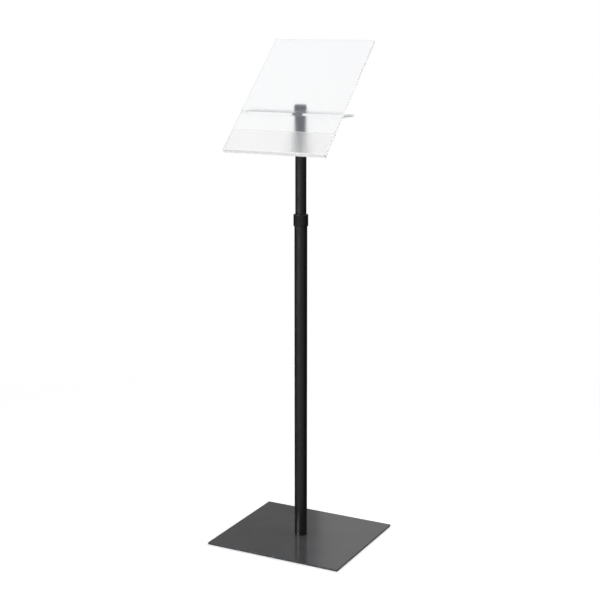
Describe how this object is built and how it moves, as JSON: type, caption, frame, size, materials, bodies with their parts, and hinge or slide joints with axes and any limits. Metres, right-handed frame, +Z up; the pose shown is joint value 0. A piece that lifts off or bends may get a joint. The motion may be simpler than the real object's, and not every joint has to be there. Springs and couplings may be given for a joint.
{
  "type": "lectern stand",
  "caption": "Free-standing lectern: a sloping frosted panel with a low paper stop on a telescopic twist-lock pole over a flat steel base.",
  "frame": {"origin": "on the pole's axis at floor level, the middle of the base's underside", "axes": "+Z up; the reader stands on the -Y side, +X is on the reader's right, and the panel rises towards +Y"},
  "size_m": [0.4, 0.355, 1.376],
  "materials": {
    "base_coat": "smooth semi-gloss dark grey coat on steel plate",
    "pole_coat": "fine satin black powder coat",
    "black_plastic": "moulded black plastic with a light sheen",
    "black_rubber": "matt black rubber",
    "felt": "thin soft pad",
    "zinc_steel": "zinc-plated steel",
    "spring_steel": "dark spring steel",
    "brass": "turned brass",
    "white_nylon": "natural nylon",
    "frosted_acrylic": "acrylic, polished reading face and edges, frosted back",
    "clear_acrylic": "polished acrylic"
  },
  "bodies": {
    "base": {"base_pads": "felt", "base_plate": "base_coat", "base_screws": "zinc_steel", "foot_gasket": "black_rubber", "foot_plug": "zinc_steel", "lower_tube": "pole_coat", "threaded_bush": "brass", "collet": "white_nylon"},
    "collar": {"lock_collar": "black_plastic", "slip_washer": "white_nylon", "wiper_ring": "black_rubber"},
    "upper_pole": {"upper_tube": "pole_coat", "guide_bush": "white_nylon", "guide_pin": "spring_steel", "top_plug": "zinc_steel", "lower_washer": "black_rubber"},
    "head": {"support_shelf": "clear_acrylic", "shelf_bush": "white_nylon", "upper_washer": "black_rubber", "reading_panel": "frosted_acrylic", "backing_strip": "frosted_acrylic", "paper_stop": "clear_acrylic"},
    "knob": {"clamp_knob": "black_plastic", "knob_stud": "zinc_steel", "pressure_washer": "zinc_steel"}
  },
  "joints": [
    {"name": "collar_twist", "type": "hinge", "parent": "base", "child": "collar", "pos_m": [0, 0, 0.902], "axis": [0, 0, 1], "range_deg": [0, 120]},
    {"name": "height_slide", "type": "slide", "parent": "base", "child": "upper_pole", "axis": [0, 0, 1], "range_m": [-0.26, 0.08]},
    {"name": "head_swivel", "type": "hinge", "parent": "upper_pole", "child": "head", "pos_m": [0, 0, 1.179], "axis": [0, 0, 1], "continuous": true},
    {"name": "knob_turn", "type": "hinge", "parent": "upper_pole", "child": "knob", "pos_m": [0, 0, 1.188], "axis": [0, 0, 1], "range_deg": [0, 360]}
  ]
}
